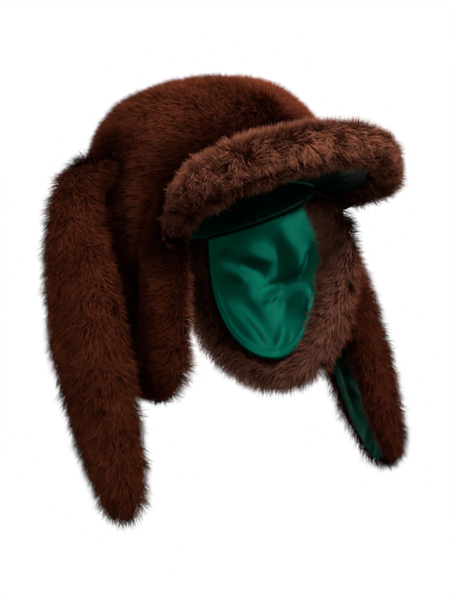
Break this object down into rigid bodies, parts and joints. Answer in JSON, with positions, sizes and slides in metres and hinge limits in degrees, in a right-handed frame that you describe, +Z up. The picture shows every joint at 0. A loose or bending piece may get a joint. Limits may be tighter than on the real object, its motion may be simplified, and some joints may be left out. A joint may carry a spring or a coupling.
{
  "type": "fur trapper hat with long ears",
  "caption": "Soft fur trapper hat with a puffed peak, hanging ear flaps and long drooping animal ears, lined with green satin and shaped as if worn.",
  "frame": {"origin": "middle of the head opening, at the height of the temples, where the hat sits on a head", "axes": "+Z up, -Y towards the face and the peak, +X towards the wearer's left"},
  "size_m": [0.3664, 0.3313, 0.3792],
  "materials": {
    "brown_fur": "long, soft, deep brown pile with lighter reddish tips",
    "green_satin": "smooth dark green satin with soft wrinkles"
  },
  "bodies": {
    "root": {"crown_lining": "green_satin", "crown_centre": "brown_fur", "crown_side_right": "brown_fur", "crown_side_left": "brown_fur", "peak_fur": "brown_fur", "peak_facing": "green_satin", "flap_fur_right": "brown_fur", "flap_lining_right": "green_satin", "flap_fur_left": "brown_fur", "flap_lining_left": "green_satin", "ear_fur_right": "brown_fur", "ear_lining_right": "green_satin", "ear_fur_left": "brown_fur", "ear_lining_left": "green_satin"}
  },
  "joints": []
}
